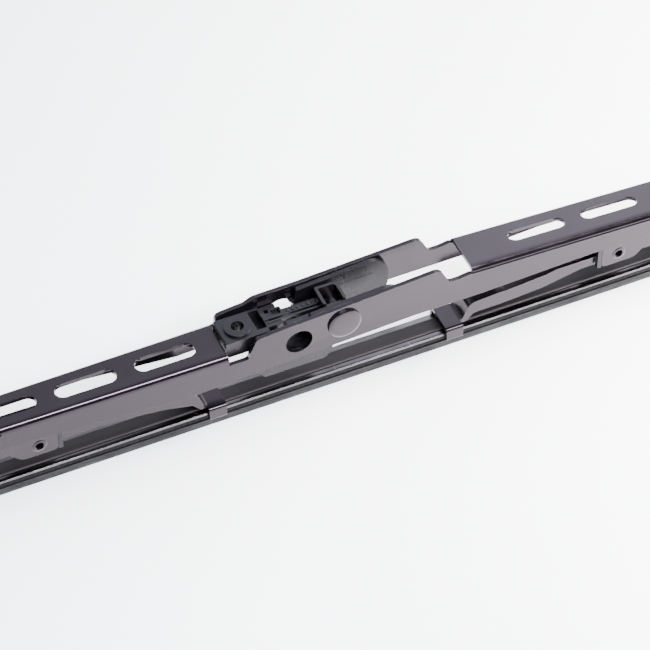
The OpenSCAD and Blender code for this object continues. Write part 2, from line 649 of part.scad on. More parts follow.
module adapter() color(plastic_black) difference() {
    union() {
        // Nose plate with its ring
        translate([nose_left, -adapter_half, nose_top_z - nose_thickness])
            cube([nose_length, 2 * adapter_half, nose_thickness]);
        translate([nose_left + nose_length * 0.4, 0, nose_top_z])
            cylinder(d = nose_ring_d, h = adapter_wall / 2);
        // Front and back cheeks
        side_plate(adapter_cheek(arm_top_z), -adapter_half, -adapter_half + adapter_wall);
        side_plate(adapter_cheek(peak_z - adapter_wall),
            adapter_half - adapter_wall, adapter_half);
        // End wall and roof of the lower body
        translate([body_left, -adapter_half, neck_low_z])
            cube([adapter_wall * 1.2, 2 * adapter_half, ledge_z - neck_low_z]);
        translate([body_left, -adapter_half, neck_low_z])
            cube([body_right - body_left, 2 * adapter_half, adapter_wall]);
        // Long ribs between the nose and the block
        for (y = [-0.1, 0.42]) translate([nose_right - adapter_wall, adapter_half * y, neck_low_z])
            cube([block_left - nose_right + 2 * adapter_wall, adapter_wall,
                ledge_z - neck_low_z + adapter_wall / 2]);
        // Cross bar with the small cap beside it
        translate([nose_right, -adapter_half * 0.55, neck_low_z])
            cube([adapter_wall * 1.3, adapter_half * 1.5, ledge_z - neck_low_z + adapter_wall]);
        translate([nose_right + adapter_wall, adapter_half * 0.4, neck_low_z])
            cube([adapter_wall * 2.4, adapter_half * 0.45,
                ledge_z - neck_low_z + adapter_wall * 0.8]);
        // Flat shelf in front of the ribs
        translate([nose_right + adapter_wall * 4, -adapter_half, ledge_z - adapter_wall * 1.4])
            cube([block_left - nose_right - adapter_wall * 3, adapter_half,
                adapter_wall]);
        // Sleeve block round the rivet
        translate([block_left, -adapter_half * 0.75, neck_low_z])
            cube([block_right - block_left, adapter_half * 1.6, block_top_z - neck_low_z]);
    }
    // Hole through the nose plate
    translate([nose_left + nose_length * 0.4, 0, nose_top_z - 2 * nose_thickness])
        cylinder(d = nose_hole_d, h = 4 * nose_thickness);
    // Pocket at the right of the nose plate
    translate([nose_right - adapter_wall * 3, -adapter_half * 0.45,
        nose_top_z - nose_thickness - overrun])
        cube([adapter_wall * 2, adapter_half * 1.2, nose_thickness + 2 * overrun]);
    // Cavity in the sleeve block, with a ridge left standing in it
    difference() {
        translate([block_left + adapter_wall, -adapter_half * 0.45,
            centre_rivet_z + centre_shank_d / 2 + adapter_wall])
            cube([block_right - block_left - 2 * adapter_wall, adapter_half,
                block_top_z]);
        translate([(block_left + block_right) / 2 - adapter_wall / 2, adapter_half * 0.35,
            centre_rivet_z]) cube([adapter_wall, adapter_half, block_top_z]);
    }
    // Bore for the rivet and the way through for the side pin
    cross_shank(centre_shank_d + 2 * turning_play, 2 * bridge_width,
        centre_rivet_x, centre_rivet_z);
    cross_shank(side_hole_d + adapter_wall, 2 * bridge_width, side_hole_x, side_hole_z);
}

primary_bridge();
centre_rivet();
end_rivet(-1);  // end_rivet_left
end_rivet(1);  // end_rivet_right
wiping_rubber();
rail(-1);  // rail_front
rail(1);  // rail_back
adapter();
secondary_bridge(-1);  // secondary_bridge_left
secondary_bridge(1);  // secondary_bridge_right
joint_liner(-1);  // joint_liner_left
joint_liner(1);  // joint_liner_right
yoke_rivet(-outer_pivot_x);  // yoke_rivet_left_outer
yoke_rivet(-inner_pivot_x);  // yoke_rivet_left_inner
yoke_rivet(inner_pivot_x);  // yoke_rivet_right_inner
yoke_rivet(outer_pivot_x);  // yoke_rivet_right_outer
yoke(-outer_pivot_x);  // yoke_left_outer
yoke(-inner_pivot_x);  // yoke_left_inner
yoke(inner_pivot_x);  // yoke_right_inner
yoke(outer_pivot_x);  // yoke_right_outer
yoke_liner(-outer_pivot_x, -1);  // yoke_liner_left_outer
yoke_liner(-inner_pivot_x, 1);  // yoke_liner_left_inner
yoke_liner(inner_pivot_x, -1);  // yoke_liner_right_inner
yoke_liner(outer_pivot_x, 1);  // yoke_liner_right_outer
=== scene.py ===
import json
import math

import bmesh
import bpy
from mathutils import Matrix, Vector

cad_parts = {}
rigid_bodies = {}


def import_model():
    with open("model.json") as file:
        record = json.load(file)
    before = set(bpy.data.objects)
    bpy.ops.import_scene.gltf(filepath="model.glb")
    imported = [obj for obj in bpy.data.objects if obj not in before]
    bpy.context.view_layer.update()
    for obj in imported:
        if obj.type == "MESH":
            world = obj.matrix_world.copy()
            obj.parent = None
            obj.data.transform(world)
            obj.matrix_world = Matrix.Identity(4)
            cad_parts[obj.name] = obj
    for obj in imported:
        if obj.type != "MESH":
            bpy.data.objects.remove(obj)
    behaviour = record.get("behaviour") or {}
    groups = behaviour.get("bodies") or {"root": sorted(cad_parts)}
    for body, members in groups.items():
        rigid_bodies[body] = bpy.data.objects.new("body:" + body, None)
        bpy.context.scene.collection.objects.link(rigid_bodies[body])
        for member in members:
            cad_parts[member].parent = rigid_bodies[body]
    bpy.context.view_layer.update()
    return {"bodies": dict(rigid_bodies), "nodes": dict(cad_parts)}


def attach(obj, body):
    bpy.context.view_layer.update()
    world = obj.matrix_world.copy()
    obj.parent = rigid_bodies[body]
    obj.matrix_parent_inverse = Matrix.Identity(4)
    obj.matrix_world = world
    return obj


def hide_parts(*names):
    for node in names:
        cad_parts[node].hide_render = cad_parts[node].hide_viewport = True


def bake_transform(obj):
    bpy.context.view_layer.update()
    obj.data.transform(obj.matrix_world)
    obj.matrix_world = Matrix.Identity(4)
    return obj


mm = 0.001
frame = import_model()
print("frame loaded")

# Camera, lamps and the light of the room
studio = {
    "azimuth": -24.3,  # degrees round the blade, from its front
    "elevation": 47.3,
    "distance": 0.85,
    "lens": 175.6,
    "sensor": 36,
    "clip": (0.02, 20),
    "target": (0, 0, 17.4 * mm),
    "shift": (-5 / 650, 15 / 650),
}
lamps = {
    # azimuth, elevation, distance, size, power and colour
    "rightBox": (75, 35, 0.42, (0.26, 0.22), 15, (1, 1, 1)),
    "leftBox": (-100, 48, 1.5, (1.0, 0.8), 2.5, (1, 1, 1)),
    "frontStrip": (10, 51, 1.3, (0.75, 0.22), 62, (0.84, 0.88, 1.0)),
}
room = {
    # each pair says where, along one part of the direction, one value turns into the other
    "frontLow": 0.12,  # the dim wall in front, up to about 27 degrees
    "frontHigh": 0.9,
    "frontRise": (0.45, 0.72),
    "backLeft": 2.5,  # what the bridge's top reflects, from its left end to its right
    "backRight": 7.2,
    "leftToRight": (0.20, 0.46),
    "backLow": 0.15,  # share of that near the horizon
    "backRise": (0.25, 0.5),
    "frontToBack": (-0.15, 0.45),
    "coolTint": (0.82, 0.89, 1.0),
    "warmTint": (1.0, 1.0, 1.0),
    "warmToCool": (-0.2, 0.5),
}


def addObject(name, data):
    holder = bpy.data.objects.new(name, data)
    bpy.context.scene.collection.objects.link(holder)
    return holder


def backVector(azimuth, elevation):
    a, e = math.radians(azimuth), math.radians(elevation)
    return Vector((math.sin(a) * math.cos(e), -math.cos(a) * math.cos(e), math.sin(e)))


def addCamera(values):
    camera = addObject("photoCamera", bpy.data.cameras.new("photoCamera"))
    back = backVector(values["azimuth"], values["elevation"])
    camera.location = Vector(values["target"]) + back * values["distance"]
    camera.rotation_euler = back.to_track_quat("Z", "Y").to_euler()
    camera.data.lens = values["lens"]
    camera.data.sensor_width = values["sensor"]
    camera.data.shift_x, camera.data.shift_y = values["shift"]
    camera.data.clip_start, camera.data.clip_end = values["clip"]
    bpy.context.scene.camera = camera


def addSoftbox(name, azimuth, elevation, distance, size, power, colour):
    light = bpy.data.lights.new(name, "AREA")
    light.shape = "RECTANGLE"
    light.size, light.size_y = size
    light.energy = power
    light.color = colour
    holder = addObject(name, light)
    back = backVector(azimuth, elevation)
    holder.location = back * distance
    holder.rotation_euler = back.to_track_quat("Z", "Y").to_euler()


# Node helpers: a number or a colour is set on a socket, and anything else is linked to it
def feed(tree, socket, value):
    if isinstance(value, (int, float)):
        socket.default_value = value
    elif isinstance(value, tuple):
        socket.default_value = (*value, 1)
    else:
        tree.links.new(value, socket)


def feedShader(tree, shader, inputs):
    for name, value in inputs.items():
        feed(tree, shader.inputs[name], value)


def rangeOf(tree, source, limits, start, end):
    node = tree.nodes.new("ShaderNodeMapRange")
    node.interpolation_type = "SMOOTHSTEP"
    feedShader(tree, node, {"Value": source, "From Min": limits[0], "From Max": limits[1],
                            "To Min": start, "To Max": end})
    return node.outputs["Result"]


def joinValues(tree, kind, first, second):
    node = tree.nodes.new("ShaderNodeMath")
    node.operation = kind
    for socket, value in zip(node.inputs, (first, second)):
        feed(tree, socket, value)
    return node.outputs["Value"]


def mixColours(tree, factor, first, second):
    # sockets 6 and 7 are the two colours, and output 2 is the mixed one
    mix = tree.nodes.new("ShaderNodeMix")
    mix.data_type = "RGBA"
    feed(tree, mix.inputs["Factor"], factor)
    feed(tree, mix.inputs[6], first)
    feed(tree, mix.inputs[7], second)
    return mix.outputs[2]


def rampOf(tree, source, stops, colours):
    ramp = tree.nodes.new("ShaderNodeValToRGB")
    for element, stop, colour in zip(ramp.color_ramp.elements, stops, colours):
        element.position = stop
        value = colour if isinstance(colour, tuple) else (colour,) * 3
        element.color = (*value, 1)
    tree.links.new(source, ramp.inputs["Fac"])
    return ramp.outputs["Color"]


def noiseAt(tree, place, scale, detail=4.0, roughness=0.55, stretch=(1, 1, 1)):
    mapping = tree.nodes.new("ShaderNodeMapping")
    mapping.inputs["Scale"].default_value = stretch
    tree.links.new(place, mapping.inputs["Vector"])
    noise = tree.nodes.new("ShaderNodeTexNoise")
    feedShader(tree, noise, {"Scale": scale, "Detail": detail, "Roughness": roughness,
                             "Vector": mapping.outputs["Vector"]})
    return noise.outputs["Fac"]


def addRoom(values):
    world = bpy.data.worlds.new("paleRoom")
    bpy.context.scene.world = world
    world.use_nodes = True
    tree = world.node_tree
    place = tree.nodes.new("ShaderNodeTexCoord")
    split = tree.nodes.new("ShaderNodeSeparateXYZ")
    tree.links.new(place.outputs["Generated"], split.inputs["Vector"])
    x, y, z = split.outputs
    front = rangeOf(tree, z, values["frontRise"], values["frontLow"], values["frontHigh"])
    back = rangeOf(tree, x, values["leftToRight"], values["backLeft"], values["backRight"])
    share = rangeOf(tree, z, values["backRise"], values["backLow"], 1.0)
    rise = joinValues(tree, "MULTIPLY", back, share)
    cool = rangeOf(tree, y, values["warmToCool"], 0.0, 1.0)
    feedShader(tree, tree.nodes["Background"], {
        "Strength": rangeOf(tree, y, values["frontToBack"], front, rise),
        "Color": mixColours(tree, cool, values["warmTint"], values["coolTint"]),
    })


addCamera(studio)
for lampName, lampValues in lamps.items():
    addSoftbox(lampName, *lampValues)
addRoom(room)
print("camera and light placed")


# Finishes: each is a node material with its own settings. A noise is given by its scale, detail,
# roughness and stretch, and a pair of stops by where its two colours or values lie
finishes = {
    "paintedSteel": {
        "dark": (0.0012, 0.0010, 0.0014),
        "light": (0.0028, 0.0024, 0.0032),
        "cloud": (55, 5, 0.6),
        "cloudStops": (0.34, 0.70),
        "fleck": (900, 3, 0.6),
        "fleckStops": (0.60, 0.75),
        "fleckShare": 0.35,
        "fleckDepth": 0.000001,
        "rubAndGlint": (0.035, 0.032, 0.034),
        "edge": 0.00030,
        "edgeGrain": 420,
        "edgeRoughness": 0.12,
        "roughness": (0.11, 0.21),
        "roughCloud": (140, 5),
        "peel": (1100, 2, 0.45),
        "peelDepth": 0.0000025,
        "specular": 0.27,
        "tint": (1.0, 0.77, 0.88),
        "coat": 0.05,
        "coatRoughness": 0.10,
    },
    "satinPlastic": {
        "dark": (0.0012, 0.0011, 0.0014),
        "light": (0.0030, 0.0028, 0.0034),
        "cloud": (90, 4, 0.6),
        "cloudStops": (0.35, 0.70),
        "rubAndGlint": (0.02, 0.019, 0.021),
        "edge": 0.00022,
        "edgeGrain": 600,
        "roughness": (0.24, 0.36),
        "roughCloud": (260, 4),
        "grain": (2600, 2, 0.5),
        "grainDepth": 0.0000015,
        "specular": 0.21,
        "tint": (1.0, 0.90, 0.96),
    },
    "wiperRubber": {
        "dark": (0.0014, 0.0012, 0.0013),
        "light": (0.0036, 0.0032, 0.0033),
        "cloud": (120, 6, 0.65, (0.25, 1, 1)),
        "cloudStops": (0.38, 0.72),
        "roughness": (0.42, 0.62),
        "roughCloud": (380, 4, 0.6, (0.3, 1, 1)),
        "grain": (3200, 2, 0.5),
        "grainDepth": 0.000008,
        "drawn": (2200, 2, 0.5, (0.02, 1, 1)),
        "drawnDepth": 0.000006,
        "gloss": (0.055, 0.22),  # specular level of the lip, and of the head above the rails
        "glossHeights": (0.0080, 0.0092),
        "tint": (1.0, 0.86, 0.88),
    },
    "brightSteel": {
        "dark": (0.060, 0.054, 0.055),
        "light": (0.110, 0.100, 0.102),
        "cloud": (70, 5, 0.6),
        "cloudStops": (0.35, 0.7),
        # the rail's edge colour: partly wear, partly a painted highlight line along the edges
        "rubAndGlint": (0.55, 0.52, 0.52),
        "edge": 0.00012,
        "edgeGrain": 700,
        "roughness": (0.14, 0.26),
        "lines": (900, 3, 0.6, (0.03, 1, 1)),
        "lineDepth": 0.000004,
    },
}
roughStops = (0.3, 0.75)
wearAndGlintMask = {"samples": 6, "turn": (0.80, 0.97), "detail": 6, "patches": (0.48, 0.62)}


def startMaterial(name):
    material = bpy.data.materials.new(name)
    material.use_nodes = True
    tree = material.node_tree
    place = tree.nodes.new("ShaderNodeTexCoord")
    return material, tree, tree.nodes["Principled BSDF"], place.outputs["Object"]


def cloudTone(tree, place, values):
    cloud = noiseAt(tree, place, *values["cloud"])
    return rampOf(tree, cloud, values["cloudStops"], (values["dark"], values["light"]))


def roughTone(tree, source, values):
    return rampOf(tree, source, roughStops, values["roughness"])


def wornAndGlintEdges(tree, place, values):
    # where the rounded-over normal leaves the face's own, broken up by a grain: worn edges, and
    # on the rail steel also a painted highlight line along its edges
    rounded = tree.nodes.new("ShaderNodeBevel")
    rounded.samples = wearAndGlintMask["samples"]
    rounded.inputs["Radius"].default_value = values["edge"]
    geometry = tree.nodes.new("ShaderNodeNewGeometry")
    dot = tree.nodes.new("ShaderNodeVectorMath")
    dot.operation = "DOT_PRODUCT"
    tree.links.new(rounded.outputs["Normal"], dot.inputs[0])
    tree.links.new(geometry.outputs["Normal"], dot.inputs[1])
    edge = rampOf(tree, dot.outputs["Value"], wearAndGlintMask["turn"], (1.0, 0.0))
    grain = noiseAt(tree, place, values["edgeGrain"], wearAndGlintMask["detail"])
    return joinValues(tree, "MULTIPLY", edge, rampOf(tree, grain, wearAndGlintMask["patches"], (0.0, 1.0)))


def addBump(tree, shader, heights):
    # heights: pairs of a height source and the real depth it stands for, in metres
    last = None
    for source, depth in heights:
        bump = tree.nodes.new("ShaderNodeBump")
        feedShader(tree, bump, {"Strength": 1.0, "Distance": depth, "Height": source})
        if last:
            tree.links.new(last, bump.inputs["Normal"])
        last = bump.outputs["Normal"]
    tree.links.new(last, shader.inputs["Normal"])


def paintedSteel(name="blackPaintedSteel"):
    values = finishes["paintedSteel"]
    material, tree, shader, place = startMaterial(name)
    fleck = noiseAt(tree, place, *values["fleck"])
    flecks = rampOf(tree, fleck, values["fleckStops"], (0.0, values["fleckShare"]))
    base = mixColours(tree, flecks, cloudTone(tree, place, values), values["light"])
    wearAndGlint = wornAndGlintEdges(tree, place, values)
    rough = roughTone(tree, noiseAt(tree, place, *values["roughCloud"]), values)
    rubbed = joinValues(tree, "MULTIPLY", wearAndGlint, values["edgeRoughness"])
    feedShader(tree, shader, {
        "Base Color": mixColours(tree, wearAndGlint, base, values["rubAndGlint"]),
        "Roughness": joinValues(tree, "ADD", rough, rubbed),
        "Specular IOR Level": values["specular"],
        "Specular Tint": values["tint"],
        "Coat Weight": values["coat"],
        "Coat Roughness": values["coatRoughness"],
    })
    peel = noiseAt(tree, place, *values["peel"])
    addBump(tree, shader, [(peel, values["peelDepth"]), (fleck, values["fleckDepth"])])
    return material


def satinPlastic(name="satinBlackPlastic"):
    values = finishes["satinPlastic"]
    material, tree, shader, place = startMaterial(name)
    wearAndGlint = wornAndGlintEdges(tree, place, values)
    feedShader(tree, shader, {
        "Base Color": mixColours(tree, wearAndGlint, cloudTone(tree, place, values), values["rubAndGlint"]),
        "Roughness": roughTone(tree, noiseAt(tree, place, *values["roughCloud"]), values),
        "Specular IOR Level": values["specular"],
        "Specular Tint": values["tint"],
    })
    addBump(tree, shader, [(noiseAt(tree, place, *values["grain"]), values["grainDepth"])])
    return material


def wiperRubber(name="wiperRubber"):
    values = finishes["wiperRubber"]
    material, tree, shader, place = startMaterial(name)
    split = tree.nodes.new("ShaderNodeSeparateXYZ")
    tree.links.new(place, split.inputs["Vector"])
    height = split.outputs["Z"]
    feedShader(tree, shader, {
        "Base Color": cloudTone(tree, place, values),
        "Roughness": roughTone(tree, noiseAt(tree, place, *values["roughCloud"]), values),
        "Specular IOR Level": rangeOf(tree, height, values["glossHeights"], *values["gloss"]),
        "Specular Tint": values["tint"],
    })
    addBump(tree, shader, [(noiseAt(tree, place, *values["grain"]), values["grainDepth"]),
                           (noiseAt(tree, place, *values["drawn"]), values["drawnDepth"])])
    return material


def brightSteel(name="brightRailSteel"):
    values = finishes["brightSteel"]
    material, tree, shader, place = startMaterial(name)
    # the rail's edges are lightened: partly wear, partly a painted highlight line
    wearAndGlint = wornAndGlintEdges(tree, place, values)
    lines = noiseAt(tree, place, *values["lines"])
    feedShader(tree, shader, {
        "Base Color": mixColours(tree, wearAndGlint, cloudTone(tree, place, values), values["rubAndGlint"]),
        "Metallic": 1.0,
        "Roughness": roughTone(tree, lines, values),
    })
    addBump(tree, shader, [(lines, values["lineDepth"])])
    return material


blackPaint = paintedSteel()
blackPlastic = satinPlastic()
blackRubber = wiperRubber()
railSteel = brightSteel()
print("finishes made")


# The pale board that the blade stands on
boardLook = {
    "size": 6.0,
    "cloud": (6, 3),
    "stops": (0.3, 0.7),
    "tones": (0.86, 0.90),
    "roughness": 0.9,
}


def paleBoard(values):
    material, tree, shader, place = startMaterial("paleBoard")
    cloud = noiseAt(tree, place, *values["cloud"])
    feedShader(tree, shader, {"Base Color": rampOf(tree, cloud, values["stops"], values["tones"]),
                              "Roughness": values["roughness"]})
    mesh = bpy.data.meshes.new("floorBoard")
    half = values["size"] / 2
    corners = [(-half, -half, 0), (half, -half, 0), (half, half, 0), (-half, half, 0)]
    mesh.from_pydata(corners, [], [(0, 1, 2, 3)])
    mesh.materials.append(material)
    board = addObject("floorBoard", mesh)


paleBoard(boardLook)


# Helpers that turn a CAD node into a finished piece
def bodyOf(node):
    return next(name for name, holder in frame["bodies"].items()
                if holder in (frame["nodes"][node].parent, frame["nodes"][node]))


def applyModifiers(piece):
    bpy.context.view_layer.update()
    graph = bpy.context.evaluated_depsgraph_get()
    finished = bpy.data.meshes.new_from_object(piece.evaluated_get(graph))
    old = piece.data
    piece.modifiers.clear()
    piece.data = finished
    if old.users == 0:
        bpy.data.meshes.remove(old)


def smoothBevel(piece, width, segments=2, angle=28):
    bevel = piece.modifiers.new("softEdge", "BEVEL")
    bevel.width, bevel.segments = width, segments
    bevel.limit_method = "ANGLE"
    bevel.angle_limit = math.radians(angle)
    bevel.harden_normals = False
    bevel.use_clamp_overlap = True
    weighted = piece.modifiers.new("evenShade", "WEIGHTED_NORMAL")
    weighted.keep_sharp = True
    applyModifiers(piece)


def shadeSmooth(mesh):
    for face in mesh.polygons:
        face.use_smooth = True


def faceOutward(mesh):
    build = bmesh.new()
    build.from_mesh(mesh)
    bmesh.ops.recalc_face_normals(build, faces=build.faces)
    build.to_mesh(mesh)
    build.free()


def mergeClose(mesh, flatten=False):
    # joins points that lie within four thousandths of a millimetre, and can merge flat faces
    build = bmesh.new()
    build.from_mesh(mesh)
    bmesh.ops.remove_doubles(build, verts=build.verts, dist=0.004 * mm)
    if flatten:
        bmesh.ops.dissolve_limit(build, angle_limit=math.radians(0.6), verts=build.verts,
                                 edges=build.edges)
    build.to_mesh(mesh)
    build.free()


def weldedCopy(node, name):
    mesh = frame["nodes"][node].data.copy()
    mergeClose(mesh, flatten=True)
    mesh.materials.clear()
    return addObject(name, mesh)


def dressed(node, name, material, width, shape=None, cut=None):
    piece = weldedCopy(node, name)
    if shape:
        shape(piece.data)
        mergeClose(piece.data)
    if cut:
        cut(piece)
        mergeClose(piece.data)
    shadeSmooth(piece.data)
    piece.data.materials.append(material)
    smoothBevel(piece, width)
    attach(piece, bodyOf(node))
    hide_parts(node)


# Solids drawn in millimetres, joined and cut with exact booleans
def roundedCorners(points, steps=7):
    # points: (across, up, radius); every corner becomes an arc of its radius
    outline = []
    count = len(points)
    reach = 0.49  # an arc takes at most this share of an edge
    for index, (px, pz, radius) in enumerate(points):
        p = Vector((px, pz))
        before = Vector(points[index - 1][:2]) - p
        after = Vector(points[(index + 1) % count][:2]) - p
        half = before.angle(after) / 2
        if radius == 0 or half > math.radians(89.5):
            outline.append((px, pz))  # a corner that is as good as straight stays a point
            continue
        run = min(radius / math.tan(half), reach * before.length, reach * after.length)
        centre = p + (before.normalized() + after.normalized()).normalized() * (
            run / math.cos(half))
        start = p + before.normalized() * run - centre
        end = p + after.normalized() * run - centre
        turn = start.angle_signed(end)
        for step in range(steps + 1):
            spoke = start.copy()
            spoke.rotate(Matrix.Rotation(-turn * step / steps, 2))
            outline.append((centre.x + spoke.x, centre.y + spoke.y))
    return outline


def solidFrom(vertices, faces):
    mesh = bpy.data.meshes.new("solid")
    mesh.from_pydata([(x * mm, y * mm, z * mm) for x, y, z in vertices], [], faces)
    faceOutward(mesh)
    return bpy.data.objects.new("solid", mesh)


def prism(low, high):
    # low and high are matching rings of points at the two ends
    count = len(low)
    sides = [(k, (k + 1) % count, count + (k + 1) % count, count + k) for k in range(count)]
    return solidFrom(low + high, [tuple(reversed(range(count))),
                                  tuple(range(count, 2 * count))] + sides)


def sidePlate(points, yFrom, yTo):
    outline = roundedCorners(points)
    return prism([(x, yFrom, z) for x, z in outline], [(x, yTo, z) for x, z in outline])


def upright(points, low, high):
    outline = roundedCorners(points)
    return prism([(x, y, low) for x, y in outline], [(x, y, high) for x, y in outline])


def block(low, high):
    (x, y, z), (u, v, w) = low, high
    return prism([(x, y, z), (u, y, z), (u, v, z), (x, v, z)],
                 [(x, y, w), (u, y, w), (u, v, w), (x, v, w)])


def drum(radius, centre, low, high, axis="Z", around=56):
    ring = [(radius * math.cos(2 * math.pi * k / around),
             radius * math.sin(2 * math.pi * k / around)) for k in range(around)]
    if axis == "Z":
        return prism([(centre[0] + a, centre[1] + b, low) for a, b in ring],
                     [(centre[0] + a, centre[1] + b, high) for a, b in ring])
    return prism([(centre[0] + a, low, centre[1] + b) for a, b in ring],
                 [(centre[0] + a, high, centre[1] + b) for a, b in ring])


def boolean(piece, others, operation):
    group = bpy.data.collections.new("operands")
    bpy.context.scene.collection.children.link(group)
    for other in others:
        group.objects.link(other)
    change = piece.modifiers.new("boolean", "BOOLEAN")
    change.operand_type = "COLLECTION"
    change.collection = group
    change.solver = "EXACT"
    change.operation = operation
    applyModifiers(piece)
    for other in others:
        bpy.data.objects.remove(other)
    bpy.data.collections.remove(group)


# The main bridge: slotted channel with its window, notch and raised cheeks
bridge = {
    "edge": 0.22 * mm,
    # the side walls draw in towards the ends
    "drawFrom": 45 * mm,
    "drawTo": 105 * mm,
    "drawShare": 0.10,
    # the arms' walls meet the middle's
    "wallLines": [(6.85 * mm, 7.0 * mm), (5.65 * mm, 5.8 * mm)],
    "lineSlack": 0.02 * mm,
    # the arms' walls lean out at their lower edge
    "flare": 0.9 * mm,
    "flareStart": (40 * mm, 60 * mm),
    "flareEnd": (120 * mm, 150 * mm),
    "flareInside": 5 * mm,
    "bendHeight": 2 * mm,
    "wallHeight": 7.5 * mm,
    "leftTop": 31.8 * mm,
    "rightTop": 35.2 * mm,
    "slopeFrom": 40 * mm,
    "rightSlope": 0.044,
    # the right arm's slots are narrower and lie a little further back
    "slotFrom": 45 * mm,
    "slotReach": 3.2 * mm,
    "slotShare": 0.80,
    "slotShift": 0.45 * mm,
    # the front cheek dips
    "cheekDip": 0.55 * mm,
    "cheekFront": -5 * mm,
    "cheekFoot": 33.6 * mm,
    "dipStart": (-25 * mm, -15 * mm),
    "dipEnd": (-6 * mm, 12 * mm),
    # the low notch beside the adapter's nose, in millimetres
    "notchLeft": -32.0,
    "notchRight": -26.6,
    "notchLow": 28.5,
    "notchHeight": 5,
    "notchLean": 1.6,
    "notchCorner": 0.8,
    "notchWall": (-8, -5),
}


def smoothStep(a, b, x):
    t = min(1.0, max(0.0, (x - a) / (b - a)))
    return t * t * (3 - 2 * t)


def drawnIn(mesh):
    for vertex in mesh.vertices:
        along = smoothStep(bridge["drawFrom"], bridge["drawTo"], abs(vertex.co.x))
        vertex.co.y *= 1 - bridge["drawShare"] * along


def bridgeShape(mesh):
    for vertex in mesh.vertices:
        co = vertex.co
        for armLine, middleLine in bridge["wallLines"]:
            if abs(abs(co.y) - armLine) < bridge["lineSlack"]:
                co.y = math.copysign(middleLine, co.y)
        away = abs(co.x)
        top = bridge["leftTop"]
        if co.x > 0:
            top = bridge["rightTop"] - max(0, away - bridge["slopeFrom"]) * bridge["rightSlope"]
        below = min(1, max(0, (top - bridge["bendHeight"] - co.z) / bridge["wallHeight"]))
        lean = bridge["flare"] * below * smoothStep(*bridge["flareStart"], away)
        lean *= 1 - smoothStep(*bridge["flareEnd"], away)
        if abs(co.y) > bridge["flareInside"]:
            co.y += math.copysign(lean, co.y)
        if co.x > bridge["slotFrom"] and abs(co.y) < bridge["slotReach"]:
            co.y = co.y * bridge["slotShare"] + bridge["slotShift"]
        if co.y < bridge["cheekFront"] and co.z > bridge["cheekFoot"]:
            dip = smoothStep(*bridge["dipStart"], co.x)
            co.z -= bridge["cheekDip"] * dip * (1 - smoothStep(*bridge["dipEnd"], co.x))
    drawnIn(mesh)


def cutNotch(piece):
    left, right, low = bridge["notchLeft"], bridge["notchRight"], bridge["notchLow"]
    high = low + bridge["notchHeight"]
    outline = [(left, low, 0), (right, low, bridge["notchCorner"]),
               (right + bridge["notchLean"], high, 0), (left, high, 0)]
    boolean(piece, [sidePlate(outline, *bridge["notchWall"])], "DIFFERENCE")


dressed("primary_bridge", "mainBridge", blackPaint, bridge["edge"], bridgeShape, cutNotch)
print("main bridge dressed")


# The secondary bridges, the yokes and their plastic liners
lever = {
    "secondaryEdge": 0.18 * mm,
    "yokeEdge": 0.14 * mm,
    "linerEdge": 0.10 * mm,
    "yokeReach": 49.8 * mm,  # from the rivet to the claws
    "yokeSag": 3.4 * mm,
    "sagStart": (0.06, 0.5),  # shares of that reach
    "sagEnd": (0.56, 0.94),
}
places = ["left_outer", "left_inner", "right_inner", "right_outer"]


def yokeShape(mesh):
    # the right yokes' arms sag between the rivet and the claws, as in the photograph
    spots = [vertex.co.x for vertex in mesh.vertices]
    middle = (min(spots) + max(spots)) / 2
    for vertex in mesh.vertices:
        share = abs(vertex.co.x - middle) / lever["yokeReach"]
        vertex.co.z -= lever["yokeSag"] * smoothStep(*lever["sagStart"], share) * (
            1 - smoothStep(*lever["sagEnd"], share))


for side in ("left", "right"):
    dressed("secondary_bridge_" + side, "secondaryBridge_" + side, blackPaint,
            lever["secondaryEdge"])
    dressed("joint_liner_" + side, "jointLiner_" + side, blackPlastic,
            lever["linerEdge"], drawnIn)
for place in places:
    dressed("yoke_" + place, "yoke_dressed_" + place, blackPaint, lever["yokeEdge"],
            yokeShape if place.startswith("right") else None)
    dressed("yoke_liner_" + place, "yokeLiner_" + place, blackPlastic, lever["linerEdge"])
print("levers dressed")


